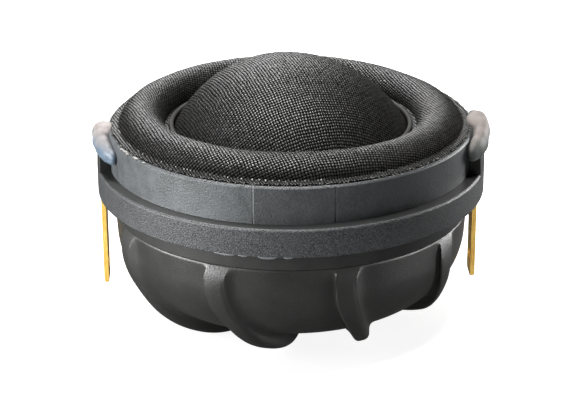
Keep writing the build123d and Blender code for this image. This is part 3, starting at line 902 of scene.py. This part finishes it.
def glue_drop(name, lumps, seed, glue):
    """Poured adhesive: lumps at an angle, radius and height, run together and smoothed."""
    points, faces = [], []
    for angle, radius, height, along, across, tall in lumps:
        turn = math.radians(angle)
        centre = (radius * math.cos(turn), radius * math.sin(turn), FLANGE_TOP + height)
        more, quads = ellipsoid(centre, (across, along, tall), turn)
        faces += [tuple(len(points) + k for k in quad) for quad in quads]
        points += more
    rough = piece(name + "_rough", points, faces, glue)
    remesh = rough.modifiers.new("fuse", "REMESH")
    remesh.mode = "VOXEL"
    remesh.voxel_size = 0.13 * MM
    smooth = rough.modifiers.new("flow", "SMOOTH")
    smooth.iterations = 55
    smooth.factor = 0.6
    graph = bpy.context.evaluated_depsgraph_get()
    graph.update()
    mesh = bpy.data.meshes.new_from_object(rough.evaluated_get(graph))
    mesh.name = name
    bpy.data.objects.remove(rough)
    for vertex in mesh.vertices:
        p = vertex.co / MM
        lift = 0.02 + 0.06 * wobble(*p, 1.7, seed) + 0.012 * wobble(*p, 0.5, seed + 9)
        vertex.co += vertex.normal * lift * MM
    mesh.polygons.foreach_set("use_smooth", [True] * len(mesh.polygons))
    obj = bpy.data.objects.new(name, mesh)
    scene.collection.objects.link(obj)
    return obj


GLUE_LEFT = (
    # angle, radius, height above the flange, half length, half width, half height
    (181.0, 20.45, 3.10, 2.0, 1.05, 1.15),
    (177.0, 20.15, 2.90, 1.7, 0.85, 0.95),
    (185.5, 20.50, 2.85, 2.1, 1.00, 1.20),
    (190.0, 20.35, 2.65, 2.1, 0.95, 1.20),
    (194.5, 20.20, 2.50, 1.7, 0.85, 1.10),
    (198.0, 20.00, 2.40, 1.1, 0.60, 0.95),
    (183.0, 19.60, 3.75, 1.8, 0.80, 0.55),
)
GLUE_RIGHT = (
    (4.0, 20.20, 3.25, 1.8, 0.85, 1.10),
    (-1.0, 20.40, 3.45, 2.2, 1.05, 1.40),
    (-6.5, 20.50, 3.25, 2.4, 1.05, 1.50),
    (-12.0, 20.50, 2.95, 2.3, 1.00, 1.45),
    (-17.0, 20.40, 2.75, 1.9, 0.90, 1.30),
    (-20.5, 20.25, 2.65, 1.2, 0.70, 1.10),
    (-4.0, 19.60, 4.10, 2.0, 0.80, 0.65),
)
for word, lumps, seed, glue in (
    ("left", GLUE_LEFT, 1.0, left_glue),
    ("right", GLUE_RIGHT, 4.0, right_glue),
):
    drop = glue_drop(f"glue_drop_{word}", lumps, seed, glue)
    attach(drop, "chassis")
    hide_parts(f"glue_blob_{word}")


def adhesive_flecks():
    """Dried adhesive squeezed out at the cloth's edge: a smear at the left, and crumbs."""
    made = []
    places = [(RNG.uniform(-156, -141), RNG.uniform(0.10, 0.24)) for _ in range(12)]
    places += [(RNG.uniform(-165, -35), RNG.uniform(0.03, 0.075)) for _ in range(70)]
    for k, (angle, size) in enumerate(places):
        turn = math.radians(angle)
        radius = 19.58 + RNG.uniform(-0.10, 0.10)
        centre = (radius * math.cos(turn), radius * math.sin(turn), RING_TOP + 0.02)
        shape = (size * RNG.uniform(0.5, 0.9), size * RNG.uniform(0.9, 1.8), size * 0.5)
        points, faces = ellipsoid(centre, shape, turn + RNG.uniform(-0.4, 0.4), 6, 10)
        made.append(outward(piece(f"fleck_{k}", points, faces, fleck_glue)))
    return joined("adhesive_flecks", made)


fleck_glue = plain_material("fleck_glue", (0.10, 0.10, 0.095), (0.36, 0.35, 0.33), 0.45, 0.2, 0.02)
flecks = adhesive_flecks()
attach(flecks, "chassis")


# ================================================================ coil, lead-outs and felts
COIL_INNER_R = 12.80
COIL_OUTER_R = 13.10
COIL_BOTTOM = 15.8
COIL_TOP = 17.8


def coil_turns():
    """Round wire, as a sleeve that is scalloped turn by turn."""
    turns = 16
    pitch = (COIL_TOP - COIL_BOTTOM) / turns
    profile = [(COIL_INNER_R, COIL_TOP), (COIL_INNER_R, COIL_BOTTOM)]
    for turn in range(turns):
        middle = COIL_BOTTOM + pitch * (turn + 0.5)
        for angle in (-72, -36, 0, 36, 72):
            bend = math.radians(angle)
            out, up = pitch / 2 * math.cos(bend), pitch / 2 * math.sin(bend)
            profile.append((COIL_OUTER_R - pitch / 2 + out, middle + up))
    return lathe("coil_turns", profile, enamel, 160)


coil = coil_turns()
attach(coil, "diaphragm")
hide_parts("coil_winding")


def nurbs_line(route, count):
    """Smooth line of second degree led by a route, through its first and last points."""
    route = [Vector(p) for p in route]
    knots = [0.0, 0.0] + [float(k) for k in range(len(route) - 1)] + [float(len(route) - 2)] * 2

    def basis(k, degree, t):
        if degree == 0:
            return 1.0 if knots[k] <= t < knots[k + 1] else 0.0
        total = 0.0
        if knots[k + degree] > knots[k]:
            total += (t - knots[k]) / (knots[k + degree] - knots[k]) * basis(k, degree - 1, t)
        if knots[k + degree + 1] > knots[k + 1]:
            total += ((knots[k + degree + 1] - t) / (knots[k + degree + 1] - knots[k + 1])
                      * basis(k + 1, degree - 1, t))
        return total

    found = []
    for step in range(count):
        t = (len(route) - 2) * min(step / (count - 1), 0.999999)
        found.append(sum((basis(k, 2, t) * p for k, p in enumerate(route)), Vector((0, 0, 0))))
    return found


def lead_out(word, side, end_x):
    """Three twisted strands from the coil to the terminal."""
    route = [
        (12.97, 0, 17.9), (12.97, 0, 20.1), (16.0, 0, 19.85), (17.9, 0, 20.75), (end_x, 0, 20.75),
    ]
    line = nurbs_line([(side * x, y, z) for x, y, z in route], 90)
    strands = []
    for strand in range(3):
        path = []
        for k, centre in enumerate(line):
            ahead = (line[min(k + 1, len(line) - 1)] - line[max(k - 1, 0)]).normalized()
            across = Vector((0, 1, 0))
            up = ahead.cross(across).normalized()
            turn = 2 * math.pi * (strand / 3 + k / 9)
            path.append(centre + 0.072 * (math.cos(turn) * across + math.sin(turn) * up))
        strands.append(tube(f"strand_{strand}", path, 0.066, tinsel, sides=6))
    obj = joined(f"lead_out_{word}", strands)
    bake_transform(obj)
    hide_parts(f"lead_wire_{word}")
    return obj


lead_out("left", -1, 20.1)
lead_out("right", 1, 19.75)


def felt_pad(name, node, bore, outer, bottom, top):
    """Soft felt disc with rounded edges and a lumpy skin."""
    edge = min(0.35, (top - bottom) * 0.35)
    if bore:
        start = (bore, bottom + 0.5)
        corners = [start, (bore, bottom), (outer, bottom), (outer, top), (bore, top), start]
        profile = filleted(corners, [edge] * 4, 5)[:-1]
    else:
        corners = [(0.02, bottom), (outer, bottom), (outer, top), (0.02, top)]
        profile = filleted(corners, [edge] * 2, 6)
    spread = []
    for (r0, z0), (r1, z1) in zip(profile, profile[1:]):
        steps = max(1, int(math.hypot(r1 - r0, z1 - z0) / 0.5))
        spread += [(r0 + (r1 - r0) * k / steps, z0 + (z1 - z0) * k / steps) for k in range(steps)]
    spread.append(profile[-1])

    def lumpy(turn, radius, height):
        x, y = radius * math.cos(turn), radius * math.sin(turn)
        low = -0.03 + 0.03 * wobble(x, y, height, 1.0, 2.0)
        sideways = low if radius > (bore + outer) / 2 else -low if bore else 0.0
        return sideways, low * (1 if height > (top + bottom) / 2 else -1)

    obj = lathe(name, spread, felt, 144, lumpy)
    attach(obj, "chassis")
    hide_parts(node)
    return obj


felt_pad("chamber_felt", "chamber_damping", 0.0, 11.8, 3.5, 8.6)
felt_pad("dome_felt", "dome_damping_pad", 3.2, 10.2, 18.2, 19.8)
felt_pad("surround_felt", "surround_damping_ring", 13.9, 16.4, 18.6, 19.5)


# ================================================================ stage, light and camera
def floor():
    """Pale floor under the fins."""
    far, level = 1000, -0.03
    corners = [(-far, -far, level), (far, -far, level), (far, far, level), (-far, far, level)]
    obj = piece("floor", corners, [(0, 1, 2, 3)], floor_material())
    obj.visible_glossy = False
    return obj


def floor_material():
    s = Shade("floor_white", Roughness=0.9, Specular_IOR_Level=0.1, Emission_Strength=0.9)
    s.set(Emission_Color=(1, 1, 1, 1))
    cloud = s.speckle(400.0, 2.0)
    s.set(Base_Color=s.mix(cloud, (0.50, 0.50, 0.50, 1), (0.53, 0.53, 0.53, 1)))
    return s.material


def lit_group(name, members):
    """Pieces that a light can be kept to."""
    group = bpy.data.collections.new(name)
    for member in members:
        group.objects.link(bpy.data.objects[member])
    return group


def softbox(name, place, target, size, power, only=None):
    """Rectangular light; place and target in millimetres."""
    data = bpy.data.lights.new(name, "AREA")
    data.shape = "RECTANGLE"
    data.size, data.size_y = size[0] * MM, size[1] * MM
    data.energy = power
    obj = bpy.data.objects.new(name, data)
    scene.collection.objects.link(obj)
    obj.location = Vector(place) * MM
    aim = Vector(target) * MM - obj.location
    obj.rotation_euler = aim.to_track_quat("-Z", "Y").to_euler()
    if only:
        obj.light_linking.receiver_collection = only
    return obj


floor()
hard_parts = lit_group("hard_parts", (
    "chassis_flange", "diaphragm_ring", "chamber_shell", "terminal_left", "terminal_right",
    "glue_drop_left", "glue_drop_right", "mould_flash",
))
upper_parts = lit_group("upper_parts", (
    "cloth_dome", "cloth_surround", "cloth_rim", "rim_threads", "terminal_left", "terminal_right",
    "glue_drop_left", "glue_drop_right", "floor",
))
low_parts = lit_group("low_parts", ("chamber_shell", "terminal_left", "terminal_right"))
softbox("key_left", (-520, -200, 110), (0, 0, 12), (340, 200), 11.0, hard_parts)
softbox("right_rim", (460, 300, 80), (0, 0, 12), (160, 160), 4.2, hard_parts)
softbox("low_left", (-500, -90, 5), (0, 0, 8), (240, 120), 3.5, low_parts)
softbox("low_right", (460, -110, 5), (0, 0, 8), (240, 120), 5.0, low_parts)
softbox("top_strip", (-75, 60, 600), (0, 0, 17), (130, 520), 12.0)
softbox("back", (-40, 520, 230), (0, 0, 17), (300, 200), 1.8, upper_parts)
softbox("cloth_left", (-500, -60, 160), (0, 0, 17), (200, 200), 1.2)

world = bpy.data.worlds.new("studio")
world.use_nodes = True
world.node_tree.nodes["Background"].inputs["Color"].default_value = (1, 1, 1, 1)
world.node_tree.nodes["Background"].inputs["Strength"].default_value = 0.06
scene.world = world

AIM = Vector((0, 0, FLANGE_TOP)) * MM
DISTANCE = 200.0
ELEVATION = math.radians(20.65)
AZIMUTH = math.radians(-2.0)
FOCAL_SHARE = 1836.0 / 580.0          # focal length over the picture's width
camera_data = bpy.data.cameras.new("camera")
camera_data.sensor_width = 36.0
camera_data.lens = FOCAL_SHARE * 36.0
camera_data.shift_x = -0.75 / 580.0
camera_data.shift_y = -44.9 / 580.0
camera_data.clip_start = 0.01
camera = bpy.data.objects.new("camera", camera_data)
scene.collection.objects.link(camera)
back = Vector((
    math.sin(AZIMUTH) * math.cos(ELEVATION),
    -math.cos(AZIMUTH) * math.cos(ELEVATION),
    math.sin(ELEVATION),
))
camera.location = AIM + back * DISTANCE * MM
turned = back.to_track_quat("Z", "Y").to_matrix().to_4x4()
camera.rotation_euler = (turned @ Matrix.Rotation(math.radians(-0.22), 4, "Z")).to_euler()
scene.camera = camera
scene.view_settings.view_transform = "Standard"
